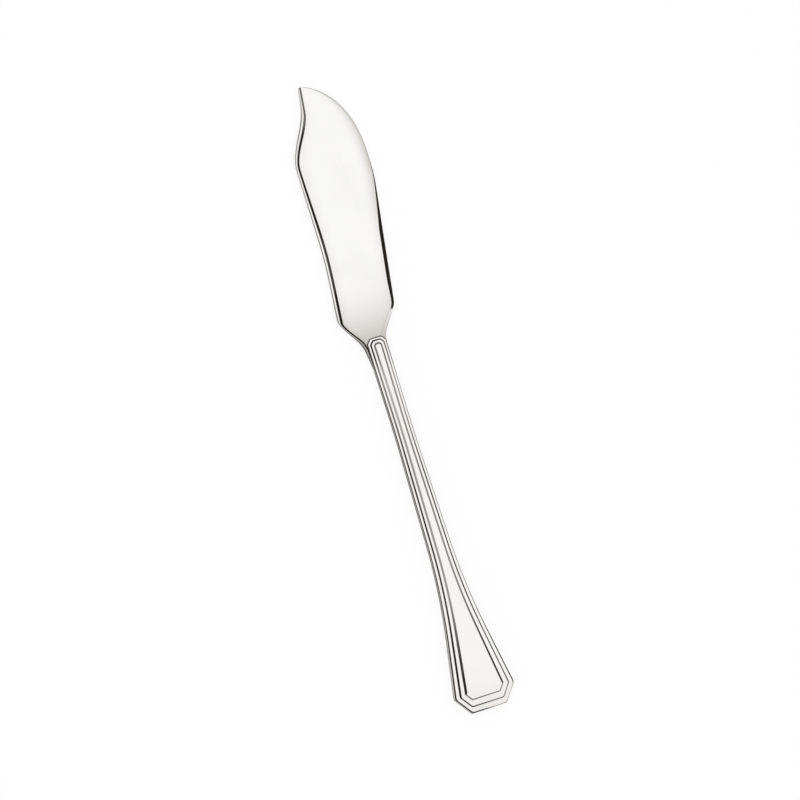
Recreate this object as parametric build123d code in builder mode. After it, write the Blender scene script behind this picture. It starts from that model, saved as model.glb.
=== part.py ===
"""Fish knife with a hollow, soldered handle.

The blade, its neck and its tang are one steel sheet. The neck is lapped between the noses of two
handle shells, whose rims are soldered together behind it, and cement fills the handle round the tang.

Millimetres. X runs along the knife towards the tip, Y towards the cutting edge and Z up from the table.
The origin is on the table, under the datum where the handle's relief meets the neck.
"""

import os
from math import atan2, radians, tan

from build123d import *

# Plan of the handle, at the outer edge of its shells
handle_length = 118.0  # datum to the butt's end face
nose_length = 2.9  # datum to the front of the shells' noses
nose_width = 6.7  # across the shells behind the nose's cut corners
nose_cut = 1.6  # length of those corners along the handle
nose_cut_angle = 42.0  # degrees from the handle's axis
waist_width = 6.3  # where the handle is narrowest
waist_from_datum = 28.0
waist_radius = 600.0
flare_width = 8.4  # where the slow taper turns into the flare
flare_from_butt = 39.0
flare_radius = 200.0
butt_width = 19.9  # across the butt's widest point
butt_cut = 5.7  # length of the butt's cut corners along the handle
butt_cut_angle = 36.0  # degrees from the handle's axis

# Plan of the raised field in the middle of the front shell
field_nose_setback = 1.8
field_nose_width = 2.9
field_nose_cut = 0.8
field_waist_width = 2.45
field_flare_width = 4.0
field_butt_width = 13.0
field_butt_cut = 2.4
field_butt_setback = 4.1
middle_share = 0.5  # where the middle terrace lies between the outer edge and the field

# Section of the handle
sheet = 0.7  # wall of the two shells
side_lean = 0.2  # how far the side walls draw in over their height
back_edge_break = 0.35  # rounding-off round the back face
nose_roof = 0.4  # first terrace above the neck's solder
crest_drop = 0.16  # slope round the outside of the first terrace
crest_run = 0.22
terrace_step = 0.32  # height of each step of the relief
riser_run = 0.45  # how far each step draws in over its height
back_lap = 0.8  # back shell under the neck
solder_film = 0.1
solder_setback = 0.6  # neck solder behind the edges of the noses

# Blade
blade_thickness = 1.5
blade_reach = 83.3  # datum to the tip
heel_from_datum = 10.3
heel_edge_side = 9.75  # axis to the heel's corner, on the side of the edge
heel_fall_angle = 4.9  # degrees by which the edge leaves the heel towards the axis
shoulder_from_datum = 10.75
shoulder_spine_side = 9.23  # axis to the shoulder's corner, on the side of the spine
slim_from_tip = 47.3  # where the edge comes nearest to the axis
slim_edge_side = 7.91
belly_from_tip = 24.6  # where the edge turns in towards the tip
belly_edge_side = 7.99
tip_run = 6.1  # straight edge behind the tip
tip_rise = 0.87  # axis to that straight's start
tip_side = 0.2  # axis to its end, the tip's corner, on the side of the spine
tip_flat = 0.9  # blunt end of the tip
tip_pull = 0.4  # handle of the spine's curve at the tip
crown_from_tip = 25.3  # where the spine stands furthest from the axis
crown_spine_side = 15.17
crown_pull = 21.2  # handle of the spine's curve at the crown
spine_knee_run = 7.3  # crown to the corner that the spine's arc rounds off
spine_radius = 75.0
edge_thickness = 0.44
bevel_width = 1.5  # thinned strip along the edge, with the step that leads down to it
bevel_step_run = 0.62  # how far that step draws in over its height
bevel_step = 0.46
bevel_fade = 1.7  # how much further back from the tip it starts to run out
bevel_tip_width = 0.5  # its width there
rim_break = 0.62  # bevel round the neck, the spine and the tip
rim_lean = 0.05  # how far the rim draws in below that bevel
spine_break = 1.1  # the bevel where the spine meets the neck's shoulder

# Neck and tang
neck_edge_side = 4.25  # axis to the neck where it starts to widen, on the side of the edge
neck_edge_from_datum = 0.5
neck_spine_side = 3.4  # the same on the side of the spine
neck_spine_from_datum = 2.5
neck_radius = 7.0
neck_thickness = 2.2
swell_from_datum = 14.0  # where the neck's thickness has run out into the blade
swell_sink = 0.1  # how deep the curve of the neck then lies in the blade
lap_from_datum = 7.0  # datum back to the neck's shoulders
tang_length = 55.0
tang_width = 2.6
tang_thickness = 1.3
tang_end_radius = 0.8
key_hole_diameter = 1.2
key_hole_pitch = 16.0
key_hole_count = 3

# Heights above the table
seam_z = back_lap + solder_film + neck_thickness / 2
neck_back_z = seam_z - neck_thickness / 2
neck_front_z = seam_z + neck_thickness / 2
blade_back_z = seam_z - blade_thickness / 2
blade_front_z = seam_z + blade_thickness / 2
terrace_z = neck_front_z + solder_film + nose_roof
middle_z = terrace_z + terrace_step
field_z = middle_z + terrace_step

# The neck's shoulders end flush with the sides of the shells, which run straight from nose to waist
nose_corner_x = nose_length - nose_cut
lap_share = (nose_corner_x + lap_from_datum) / (nose_corner_x + waist_from_datum)
lap_width = nose_width + (waist_width - nose_width) * lap_share
slot_width = max(nose_width, waist_width)

fillet_reach = 0.45  # most of a straight run that the arc at one of its ends may take up


def corner_radius(before, corner, after, wanted):
    """The wanted radius at a corner, or the largest that the runs beside it leave room for."""
    first = Vector(*corner) - Vector(*before)
    second = Vector(*after) - Vector(*corner)
    shorter_run = min(first.length, second.length)
    half_turn = radians(first.get_angle(second)) / 2
    return min(wanted, fillet_reach * shorter_run / tan(half_turn))


def handle_plan(share, z, inset=0.0):
    """Plan of the handle at height z, from the shells' outer edge (share 0) to the field (share 1)."""

    def between(outer, field):
        return outer + (field - outer) * share

    front_x = nose_length - share * field_nose_setback - inset
    butt_x = -handle_length + share * field_butt_setback + inset
    nose_half = between(nose_width, field_nose_width) / 2 - inset
    waist_half = between(waist_width, field_waist_width) / 2 - inset
    flare_half = between(flare_width, field_flare_width) / 2 - inset
    butt_half = between(butt_width, field_butt_width) / 2 - inset

    # An inset moves a cut corner by the tangent of half the angle between its two sides
    nose_angle = radians(nose_cut_angle)
    nose_run = between(nose_cut, field_nose_cut) - inset * (1 - tan(nose_angle / 2))
    butt_angle = radians(butt_cut_angle)
    butt_run = between(butt_cut, field_butt_cut) - inset * (1 - tan(butt_angle / 2))

    nose_end = (front_x, nose_half - nose_run * tan(nose_angle))
    nose_corner = (front_x - nose_run, nose_half)
    waist = (-waist_from_datum, waist_half)
    flare = (flare_from_butt - handle_length, flare_half)
    butt_corner = (butt_x + butt_run, butt_half)
    butt_end = (butt_x, butt_half - butt_run * tan(butt_angle))

    with BuildSketch(Plane.XY.offset(z)) as plan:
        with BuildLine():
            FilletPolyline(
                (front_x, 0),
                nose_end,
                nose_corner,
                waist,
                flare,
                butt_corner,
                butt_end,
                (butt_x, 0),
                radius=[
                    0,
                    0,
                    corner_radius(nose_corner, waist, flare, waist_radius),
                    corner_radius(waist, flare, butt_corner, flare_radius),
                    0,
                    0,
                ],
            )
            mirror(about=Plane.XZ)
        make_face()
    return plan.sketch


def blade_plan(bevel, rim, z):
    """Plan of the blade and neck at height z, drawn in by bevel along the edge and by rim elsewhere."""
    share = bevel / bevel_width
    tip_x = blade_reach - rim
    lap_x = -lap_from_datum

    heel = (heel_from_datum, heel_edge_side - bevel)
    slim = (blade_reach - slim_from_tip, slim_edge_side - bevel)
    belly = (blade_reach - belly_from_tip, belly_edge_side - bevel)
    tip_start = (blade_reach - tip_run - share * bevel_fade, tip_rise - share * bevel_tip_width)
    tip_corner = (tip_x, -tip_side - rim)
    tip_end = (tip_x, -tip_side - tip_flat)
    crown = (blade_reach - crown_from_tip, rim - crown_spine_side)
    spine_knee = (crown[0] - spine_knee_run, crown[1])
    shoulder = (shoulder_from_datum, rim * spine_break / rim_break - shoulder_spine_side)
    edge_neck = (neck_edge_from_datum, neck_edge_side - rim)
    spine_neck = (neck_spine_from_datum, rim - neck_spine_side)
    edge_lap = (lap_x, lap_width / 2 - rim)
    spine_lap = (lap_x, rim - lap_width / 2)
    heel_fall = (1, -tan(radians(heel_fall_angle)))

    with BuildSketch(Plane.XY.offset(z)) as plan:
        with BuildLine():
            Line(spine_lap, edge_lap)
            FilletPolyline(
                edge_lap,
                edge_neck,
                heel,
                radius=[corner_radius(edge_lap, edge_neck, heel, neck_radius)],
            )
            Spline(heel, slim, tangents=[heel_fall, (1, 0)])
            Spline(slim, belly, tangents=[(1, 0), (1, 0)])
            Spline(belly, tip_start, tangents=[(1, 0), Vector(*tip_corner) - Vector(*tip_start)])
            Line(tip_start, tip_corner)
            Line(tip_corner, tip_end)
            Bezier(
                tip_end,
                (tip_x, tip_end[1] - tip_pull),
                (crown[0] + crown_pull, crown[1]),
                crown,
            )
            FilletPolyline(
                crown,
                spine_knee,
                shoulder,
                radius=[corner_radius(crown, spine_knee, shoulder, spine_radius)],
            )
            FilletPolyline(
                shoulder,
                spine_neck,
                spine_lap,
                radius=[corner_radius(shoulder, spine_neck, spine_lap, neck_radius)],
            )
        make_face()
    return plan.sketch


# Room inside the two shells, behind the neck: the cement and the tang share it
riser_shift = sheet * tan(atan2(terrace_step, riser_run) / 2)
with BuildPart() as cavity:
    loft([handle_plan(0, sheet, sheet + side_lean), handle_plan(0, seam_z, sheet)], ruled=True)
    loft(
        [handle_plan(0, seam_z, sheet), handle_plan(0, terrace_z - sheet, sheet + side_lean)],
        ruled=True,
    )
    loft(
        [
            handle_plan(middle_share, terrace_z - sheet, riser_shift),
            handle_plan(middle_share, middle_z - sheet, riser_shift + riser_run),
        ],
        ruled=True,
    )
    split(bisect_by=Plane.YZ.offset(-lap_from_datum), keep=Keep.BOTTOM)

# Blade, neck and tang: a thick neck that runs out into a sheet, with a step along the sheet's edge
# and a bevel round the rest of its rim
step_bevel = bevel_width - bevel_step_run
with BuildPart() as blade:
    extrude(blade_plan(bevel_width, rim_break, neck_back_z), amount=neck_thickness)
    with BuildSketch(Plane.XZ):
        with BuildLine():
            swell_front = (swell_from_datum, blade_front_z - swell_sink)
            swell_back = (swell_from_datum, blade_back_z + swell_sink)
            nose_front = (nose_length, neck_front_z)
            nose_back = (nose_length, neck_back_z)
            Line(swell_back, swell_front)
            TangentArc(swell_front, nose_front, tangent=(-1, 0))
            Polyline(nose_front, (-lap_from_datum, neck_front_z), (-lap_from_datum, neck_back_z), nose_back)
            TangentArc(swell_back, nose_back, tangent=(-1, 0))
        make_face()
    extrude(amount=blade_reach, both=True, mode=Mode.INTERSECT)
    loft(
        [
            blade_plan(bevel_width, rim_break, blade_back_z),
            blade_plan(step_bevel, rim_lean, blade_back_z + bevel_step),
            blade_plan(0, 0, seam_z - edge_thickness / 2),
            blade_plan(0, 0, seam_z + edge_thickness / 2),
            blade_plan(step_bevel, rim_lean, blade_front_z - bevel_step),
            blade_plan(bevel_width, rim_break, blade_front_z),
        ],
        ruled=True,
    )
    with BuildSketch(Plane.XY.offset(seam_z)) as tang_plan:
        with Locations((-lap_from_datum, 0)):
            Rectangle(tang_length, tang_width, align=(Align.MAX, Align.CENTER))
        fillet(tang_plan.vertices().group_by(Axis.X)[0], min(tang_end_radius, fillet_reach * tang_width))
        with Locations((-lap_from_datum - tang_length / 2, 0)):
            with GridLocations(key_hole_pitch, 0, key_hole_count, 1):
                Circle(key_hole_diameter / 2, mode=Mode.SUBTRACT)
    extrude(amount=tang_thickness / 2, both=True)
blade.part.label = "blade"

# Front shell: a struck sheet with two terraces round a plain field
with BuildPart() as handle_front_shell:
    loft(
        [
            handle_plan(0, seam_z + solder_film / 2),
            handle_plan(0, terrace_z - crest_drop, side_lean),
            handle_plan(0, terrace_z, side_lean + crest_run),
        ],
        ruled=True,
    )
    loft(
        [handle_plan(middle_share, terrace_z), handle_plan(middle_share, middle_z, riser_run)],
        ruled=True,
    )
    loft([handle_plan(1, middle_z), handle_plan(1, field_z, riser_run)], ruled=True)
    add(cavity.part, mode=Mode.SUBTRACT)
    with Locations((-lap_from_datum, 0, neck_front_z + solder_film)):
        Box(
            lap_from_datum + nose_length,
            slot_width,
            neck_thickness,
            align=(Align.MIN, Align.CENTER, Align.MAX),
            mode=Mode.SUBTRACT,
        )
handle_front_shell.part.label = "handle_front_shell"

# Back shell: a plain tray with a flat back, which the knife lies on
with BuildPart() as handle_back_shell:
    loft(
        [
            handle_plan(0, 0, side_lean + back_edge_break),
            handle_plan(0, back_edge_break, side_lean),
            handle_plan(0, seam_z - solder_film / 2),
        ],
        ruled=True,
    )
    add(cavity.part, mode=Mode.SUBTRACT)
    with Locations((-lap_from_datum, 0, neck_back_z - solder_film)):
        Box(
            lap_from_datum + nose_length,
            slot_width,
            neck_thickness,
            align=(Align.MIN, Align.CENTER, Align.MIN),
            mode=Mode.SUBTRACT,
        )
handle_back_shell.part.label = "handle_back_shell"

# Cement: all of the room inside that the tang leaves
with BuildPart() as handle_filler:
    add(cavity.part)
    add(blade.part, mode=Mode.SUBTRACT)
handle_filler.part.label = "handle_filler"

# Solder between the rims of the two shells
with BuildPart() as seam_solder:
    with BuildSketch(Plane.XY.offset(seam_z)):
        add(handle_plan(0, seam_z))
        add(handle_plan(0, seam_z, sheet), mode=Mode.SUBTRACT)
        split(bisect_by=Plane.YZ.offset(-lap_from_datum), keep=Keep.BOTTOM)
    extrude(amount=solder_film / 2, both=True)
seam_solder.part.label = "seam_solder"

# Solder between the neck and the noses: one film on each face
with BuildPart() as neck_solder:
    with BuildSketch(Plane.XY.offset(neck_front_z)):
        add(handle_plan(0, neck_front_z, solder_setback))
        split(bisect_by=Plane.YZ.offset(-lap_from_datum), keep=Keep.TOP)
    extrude(amount=solder_film)
    with BuildSketch(Plane.XY.offset(neck_back_z)):
        add(handle_plan(0, neck_back_z, solder_setback))
        split(bisect_by=Plane.YZ.offset(-lap_from_datum), keep=Keep.TOP)
    extrude(amount=-solder_film)
neck_solder.part.label = "neck_solder"

os.makedirs("parts", exist_ok=True)
for piece in (blade, handle_front_shell, handle_back_shell, handle_filler, seam_solder, neck_solder):
    export_step(piece.part, f"parts/{piece.part.label}.step")
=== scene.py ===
"""Looks of a fish knife: a polished steel blade lapped between two struck handle shells, on a pale floor.

Plan sizes are in millimetres until a point is placed in a mesh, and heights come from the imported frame.
X runs along the knife towards the tip, Y towards the cutting edge and Z up from the floor.
"""

import logging
from dataclasses import dataclass
from enum import Enum
from math import atan, cos, pi, radians, sin, sqrt, tan
from typing import Any, Sequence

import bmesh
import bpy
from mathutils import Matrix, Vector


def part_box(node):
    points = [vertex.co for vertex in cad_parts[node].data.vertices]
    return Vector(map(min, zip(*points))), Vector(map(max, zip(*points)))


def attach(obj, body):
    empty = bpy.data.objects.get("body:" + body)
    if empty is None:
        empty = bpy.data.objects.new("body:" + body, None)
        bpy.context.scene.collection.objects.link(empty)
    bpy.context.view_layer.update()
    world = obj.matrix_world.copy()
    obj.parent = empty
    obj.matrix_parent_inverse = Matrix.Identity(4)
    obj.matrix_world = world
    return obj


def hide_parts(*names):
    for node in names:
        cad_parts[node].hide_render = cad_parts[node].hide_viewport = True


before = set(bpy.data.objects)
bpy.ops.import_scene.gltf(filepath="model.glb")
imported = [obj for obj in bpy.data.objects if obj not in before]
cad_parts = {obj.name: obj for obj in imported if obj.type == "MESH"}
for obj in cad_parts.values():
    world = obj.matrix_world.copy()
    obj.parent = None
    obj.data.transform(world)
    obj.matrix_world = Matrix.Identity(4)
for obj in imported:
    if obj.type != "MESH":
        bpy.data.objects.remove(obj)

MM = 0.001
BLACK_AND_SHADE = "black_and_shade"  # mesh attribute: 1 where the steel is painted darkest: polishing black in hollows, painted shade and painted reflection elsewhere
NEAR = 0.01  # millimetres within which two places count as one
MERGE = 1e-4  # millimetres within which the points of a mesh are merged
FACTOR, FIRST, SECOND, MIXED = 0, 6, 7, 2  # a Mix node's colour sockets, the last of them its output
OUTER, FIELD = 0.0, 1.0  # shares at which the handle's outline is that of its outer edge, and of its field

log = logging.getLogger("fish_knife")

Colour = tuple[float, float, float, float]
Point = tuple[float, float]
Pair = tuple[float, float]  # two numbers that belong together, such as a range
Loop = list[Vector]


class Slot(Enum):
    """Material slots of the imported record."""

    BLADE = "blade_steel"
    HANDLE = "handle_steel"


class Signal:
    """One output of a shader node. Arithmetic on it adds Math nodes to the same tree."""

    def __init__(self, graph: "Graph", node: bpy.types.Node, output: int | str = 0) -> None:
        """Keeps what this signal stands for.

        Args:
            graph: The graph that holds the node.
            node: The node.
            output: Which of its outputs it is.
        """
        self.graph = graph
        self.node = node
        self.output = output

    @property
    def socket(self) -> bpy.types.NodeSocket:
        """The output socket itself."""
        return self.node.outputs[self.output]

    def out(self, output: int | str) -> "Signal":
        """Another output of the same node."""
        return Signal(self.graph, self.node, output)

    def _math(self, operation: str, first: Any, second: Any) -> "Signal":
        """A Math node over two values."""
        return self.graph.node("ShaderNodeMath", {"operation": operation}, {0: first, 1: second})

    def __add__(self, other: Any) -> "Signal":
        """Sum."""
        return self._math("ADD", self, other)

    def __radd__(self, other: Any) -> "Signal":
        """Sum, with the number first."""
        return self._math("ADD", other, self)

    def __sub__(self, other: Any) -> "Signal":
        """Difference."""
        return self._math("SUBTRACT", self, other)

    def __rsub__(self, other: Any) -> "Signal":
        """Difference, with the number first."""
        return self._math("SUBTRACT", other, self)

    def __mul__(self, other: Any) -> "Signal":
        """Product."""
        return self._math("MULTIPLY", self, other)

    def __rmul__(self, other: Any) -> "Signal":
        """Product, with the number first."""
        return self._math("MULTIPLY", other, self)


class Graph:
    """The node tree of a material or a world, filled through one method."""

    def __init__(self, owner: bpy.types.Material | bpy.types.World) -> None:
        """Empties the owner's node tree.

        Args:
            owner: The material or world that the nodes are for.
        """
        owner.use_nodes = True
        self.tree = owner.node_tree
        self.tree.nodes.clear()

    def node(
        self,
        kind: str,
        settings: dict[str, Any] | None = None,
        inputs: dict[int | str, Any] | None = None,
    ) -> Signal:
        """Adds a node.

        Args:
            kind: The node's type.
            settings: Its properties, set first; "stops" holds a ramp's positions and colours.
            inputs: A value or a signal for each input socket that is used.

        Returns:
            The node's first output.
        """
        made = self.tree.nodes.new(kind)
        for name, value in (settings or {}).items():
            if name == "stops":
                self._set_stops(made.color_ramp, value)
            else:
                setattr(made, name, value)
        for name, value in (inputs or {}).items():
            if isinstance(value, Signal):
                self.tree.links.new(value.socket, made.inputs[name])
            else:
                made.inputs[name].default_value = value
        return Signal(self, made)

    @staticmethod
    def _set_stops(ramp: bpy.types.ColorRamp, stops: Sequence[tuple[float, Colour]]) -> None:
        """Gives a ramp its stops.

        Args:
            ramp: A new ramp, which has two stops.
            stops: Positions and colours, in order.
        """
        while len(ramp.elements) < len(stops):
            ramp.elements.new(1.0)
        for element, (position, colour) in zip(ramp.elements, stops):
            element.position = position
            element.color = colour


def grey(level: float) -> Colour:
    """An opaque grey."""
    return (level, level, level, 1.0)


@dataclass(frozen=True)
class PolishedSteel:
    """Stainless steel off the polishing wheel: bright, with faint wheel lines along X, hand smudges and
    a little polishing black in the corners that the wheel misses. The same dark tint is also painted on as
    shade and as reflection of dark surroundings, and as shade that grows along X."""

    name: str
    colour: Colour = (0.945, 0.94, 0.93, 1.0)
    faint_dark_share: float = 0.35  # up to this level the polishing black and painted shade make only a faint brown tint
    faint_dark_tint: Colour = (0.685, 0.663, 0.63, 1.0)
    # colour of full polishing black and of the darkest painted shade and painted reflection
    black_and_shade_tint: Colour = (0.031, 0.026, 0.021, 1.0)
    smudge_colour: Colour = (0.90, 0.895, 0.89, 1.0)
    roughness: float = 0.07
    smudge_roughness: float = 0.07
    black_and_shade_roughness: float = 0.12
    line_roughness: float = 0.03
    line_pitch: float = 0.35 * MM
    line_length: float = 14 * MM
    line_depth: float = 0.0004 * MM
    line_detail: float = 3.0
    black_and_shade_even: float = 0.95  # how strong the polishing black and painted shade are by themselves
    black_and_shade_lines: float = 0.2  # how much the wheel lines add to it
    smudge_size: float = 16 * MM
    smudge_detail: float = 4.0
    smudge_range: Pair = (0.48, 0.7)  # noise at which smudges set in, and at which they are full
    smudge_share: float = 0.5
    shade_from: float = 24 * MM  # X where the painted shade along the piece starts
    shade_to: float = 2 * MM  # X from which that painted shade is strongest
    # how dark that painted shade gets
    painted_shade: float = 0.0

    def material(self) -> bpy.types.Material:
        """Builds the steel.

        Returns:
            The material, which reads Object coordinates and the attribute of polishing black and painted
            shade.
        """
        steel = bpy.data.materials.new(self.name)
        graph = Graph(steel)
        place = graph.node("ShaderNodeTexCoord").out("Object")
        along = graph.node(
            "ShaderNodeMapping",
            {"vector_type": "POINT"},
            {"Vector": place, "Scale": (1 / self.line_length, 1 / self.line_pitch, 1 / self.line_pitch)},
        )
        lines = graph.node(
            "ShaderNodeTexNoise", {}, {"Vector": along, "Scale": 1.0, "Detail": self.line_detail}
        )
        smudge = graph.node(
            "ShaderNodeTexNoise",
            {},
            {"Vector": place, "Scale": 1 / self.smudge_size, "Detail": self.smudge_detail},
        )
        smudge_from, smudge_full = self.smudge_range
        smudge_mask = graph.node(
            "ShaderNodeMapRange",
            {"interpolation_type": "SMOOTHSTEP"},
            {"Value": smudge, "From Min": smudge_from, "From Max": smudge_full},
        )
        # Darkening from the mesh attribute: polishing black in hollows, painted shade and painted
        # reflection of dark surroundings on walls, crests, rims and faces
        black_and_shade = graph.node("ShaderNodeAttribute", {"attribute_name": BLACK_AND_SHADE}).out("Fac")
        black_and_shade_mask = black_and_shade * (self.black_and_shade_even + lines * self.black_and_shade_lines)
        # Painted shade that grows along X towards one end of the piece
        along_x = graph.node("ShaderNodeSeparateXYZ", {}, {0: place})
        shade_share = graph.node(
            "ShaderNodeMapRange",
            {},
            {"Value": along_x, "From Min": self.shade_from, "From Max": self.shade_to},
        )
        handled = graph.node(
            "ShaderNodeMix",
            {"data_type": "RGBA"},
            {FACTOR: smudge_mask * self.smudge_share, FIRST: self.colour, SECOND: self.smudge_colour},
        ).out(MIXED)
        # The tint darkens the steel by that painted shade and polishing black: a faint brown tint first,
        # near black at full strength
        stops = [(0.0, grey(1.0)), (self.faint_dark_share, self.faint_dark_tint), (1.0, self.black_and_shade_tint)]
        tint = graph.node(
            "ShaderNodeValToRGB", {"stops": stops}, {0: black_and_shade_mask + shade_share * shade_share * self.painted_shade}
        )
        colour = graph.node(
            "ShaderNodeMix",
            {"data_type": "RGBA", "blend_type": "MULTIPLY"},
            {FACTOR: 1.0, FIRST: handled, SECOND: tint},
        ).out(MIXED)
        roughness = (
            self.roughness
            + smudge_mask * self.smudge_roughness
            + black_and_shade * self.black_and_shade_roughness
            + lines * self.line_roughness
        )
        wheel_lines = graph.node(
            "ShaderNodeBump", {}, {"Strength": 1.0, "Distance": self.line_depth, "Height": lines}
        )
        shader = graph.node(
            "ShaderNodeBsdfPrincipled",
            {},
            {"Base Color": colour, "Metallic": 1.0, "Roughness": roughness, "Normal": wheel_lines},
        )
        graph.node("ShaderNodeOutputMaterial", {}, {"Surface": shader})
        return steel


@dataclass(frozen=True)
class MottledFill:
    """A dull filling, such as solder or cement: two colours in soft patches, with a grainy surface."""

    name: str
    pale: Colour
    dark: Colour
    metallic: float
    roughness: float
    patch_size: float
    grain_size: float
    grain_depth: float
    patch_detail: float = 5.0
    grain_detail: float = 3.0
    grain_roughness: float = 0.15

    def material(self) -> bpy.types.Material:
        """Builds the filling.

        Returns:
            The material, which reads Object coordinates.
        """
        filling = bpy.data.materials.new(self.name)
        graph = Graph(filling)
        place = graph.node("ShaderNodeTexCoord").out("Object")
        patches = graph.node(
            "ShaderNodeTexNoise",
            {},
            {"Vector": place, "Scale": 1 / self.patch_size, "Detail": self.patch_detail},
        )
        grain = graph.node(
            "ShaderNodeTexNoise",
            {},
            {"Vector": place, "Scale": 1 / self.grain_size, "Detail": self.grain_detail},
        )
        colour = graph.node(
            "ShaderNodeMix",
            {"data_type": "RGBA"},
            {FACTOR: patches, FIRST: self.dark, SECOND: self.pale},
        ).out(MIXED)
        surface = graph.node(
            "ShaderNodeBump", {}, {"Strength": 1.0, "Distance": self.grain_depth, "Height": grain}
        )
        shader = graph.node(
            "ShaderNodeBsdfPrincipled",
            {},
            {
                "Base Color": colour,
                "Metallic": self.metallic,
                "Roughness": self.roughness + grain * self.grain_roughness,
                "Normal": surface,
            },
        )
        graph.node("ShaderNodeOutputMaterial", {}, {"Surface": shader})
        return filling


# The blade's face is painted darker towards the neck, where it curves into the swell
BLADE_STEEL = PolishedSteel("blade_steel", painted_shade=0.42)
# The handle is painted a little darker towards its butt
HANDLE_STEEL = PolishedSteel(
    "handle_steel",
    colour=(0.925, 0.91, 0.885, 1.0),
    shade_from=-100 * MM,
    shade_to=-118 * MM,
    painted_shade=0.1,
)
SOLDER = MottledFill(
    "solder",
    pale=(0.62, 0.62, 0.61, 1.0),
    dark=(0.45, 0.45, 0.46, 1.0),
    metallic=1.0,
    roughness=0.35,
    patch_size=2.5 * MM,
    grain_size=0.3 * MM,
    grain_depth=0.01 * MM,
)
CEMENT = MottledFill(
    "cement",
    pale=(0.52, 0.49, 0.44, 1.0),
    dark=(0.36, 0.34, 0.31, 1.0),
    metallic=0.0,
    roughness=0.8,
    patch_size=4 * MM,
    grain_size=0.5 * MM,
    grain_depth=0.05 * MM,
)


def between(first: float, second: float, share: float) -> float:
    """The number a share of the way from the first to the second."""
    return first + (second - first) * share


def clamp(share: float) -> float:
    """The share, kept between 0 and 1."""
    return min(max(share, 0.0), 1.0)


def ramp_up(low: float, high: float, value: float) -> float:
    """0 below low, 1 above high and an even, soft rise between them."""
    share = clamp((value - low) / (high - low))
    return share * share * (3 - 2 * share)


def spread(start: float, end: float, steps: int) -> list[float]:
    """Evenly spaced numbers from start on, without the end."""
    return [between(start, end, step / steps) for step in range(steps)]


def soft_min(first: float, second: float, blend: float) -> float:
    """The lesser number, eased where the two are within blend of each other."""
    overlap = max(blend - abs(first - second), 0.0)
    return min(first, second) - overlap * overlap / (4 * blend)


def cubic(x: float, start: Point, start_slope: float, end: Point, end_slope: float) -> float:
    """Height at x of the cubic that leaves start and reaches end at the given slopes.

    Args:
        x: Where the height is wanted.
        start: First point.
        start_slope: Slope there.
        end: Last point.
        end_slope: Slope there.

    Returns:
        The height.
    """
    run = end[0] - start[0]
    t = (x - start[0]) / run
    rise = end[1] - start[1]
    bend_in = start_slope * run - rise
    bend_out = rise - end_slope * run
    return between(start[1], end[1], t) + t * (1 - t) * (bend_in * (1 - t) + bend_out * t)


def curve_at(handles: Sequence[float], share: float) -> float:
    """One coordinate of a cubic curve.

    Args:
        handles: That coordinate of the curve's four handles.
        share: How far along the curve it is wanted.

    Returns:
        The coordinate.
    """
    rest = 1 - share
    first, second, third, last = handles
    return rest**3 * first + 3 * share * rest * (rest * second + share * third) + share**3 * last


def bent_line(x: float, before: Point, corner: Point, after: Point, radius: float) -> float:
    """Height at x of two straight runs with their corner rounded off.

    Args:
        x: Where the height is wanted.
        before: A point on the first run.
        corner: Where the two runs meet.
        after: A point on the second run.
        radius: Radius of the arc between them.

    Returns:
        The height.
    """
    slope_in = (corner[1] - before[1]) / (corner[0] - before[0])
    slope_out = (after[1] - corner[1]) / (after[0] - corner[0])
    angle_in = atan(slope_in)
    angle_out = atan(slope_out)
    reach = radius * tan(abs(angle_out - angle_in) / 2)
    arc_start = corner[0] - reach * cos(angle_in)
    arc_end = corner[0] + reach * cos(angle_out)
    if x <= arc_start:
        return corner[1] + (x - corner[0]) * slope_in
    if x >= arc_end:
        return corner[1] + (x - corner[0]) * slope_out
    turn = 1 if angle_out > angle_in else -1
    centre_x = arc_start - turn * radius * sin(angle_in)
    centre_y = corner[1] - reach * sin(angle_in) + turn * radius * cos(angle_in)
    return centre_y - turn * sqrt(radius * radius - (x - centre_x) ** 2)


@dataclass
class Corner:
    """A loop at which a piece's section turns."""

    loop: Loop
    radius: float  # how far back from the corner the turn starts
    black_and_shade: float | list[float] = 0.0  # polishing black and painted shade on the strip that follows, or that at each point

    def shares(self) -> list[float]:
        """The polishing black and painted shade at each point."""
        return self.black_and_shade if isinstance(self.black_and_shade, list) else [self.black_and_shade] * len(self.loop)


@dataclass
class Ring:
    """A loop of the finished mesh, with the polishing black and painted shade at each of its points."""

    loop: Loop
    black_and_shade: list[float]

    @classmethod
    def clean(cls, loop: Loop) -> "Ring":
        """A ring with neither polishing black nor painted shade."""
        return cls(loop, [0.0] * len(loop))


def rounded(corners: Sequence[Corner], steps: int = 4, most: float = 0.4) -> list[Ring]:
    """Rounds the turns of a section off.

    Args:
        corners: The section's corners, in order.
        steps: Strips in each rounded turn.
        most: The largest share of a strip that one turn takes up.

    Returns:
        The rings that the mesh is drawn through. The first and last corners stay as they are.
    """
    rings = [Ring(corners[0].loop, corners[0].shares())]
    for before, corner, after in zip(corners, corners[1:], corners[2:]):
        for step in range(steps + 1):
            share = step / steps
            loop = []
            for start, turn, end in zip(before.loop, corner.loop, after.loop):
                back = start - turn
                on = end - turn
                first = turn + back * min(corner.radius / max(back.length, MERGE), most)
                last = turn + on * min(corner.radius / max(on.length, MERGE), most)
                loop.append(first.lerp(turn, share).lerp(turn.lerp(last, share), share))
            pairs = zip(before.shares(), corner.shares())
            rings.append(Ring(loop, [between(first, last, share) for first, last in pairs]))
    rings.append(Ring(corners[-1].loop, corners[-2].shares()))
    return rings


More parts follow.
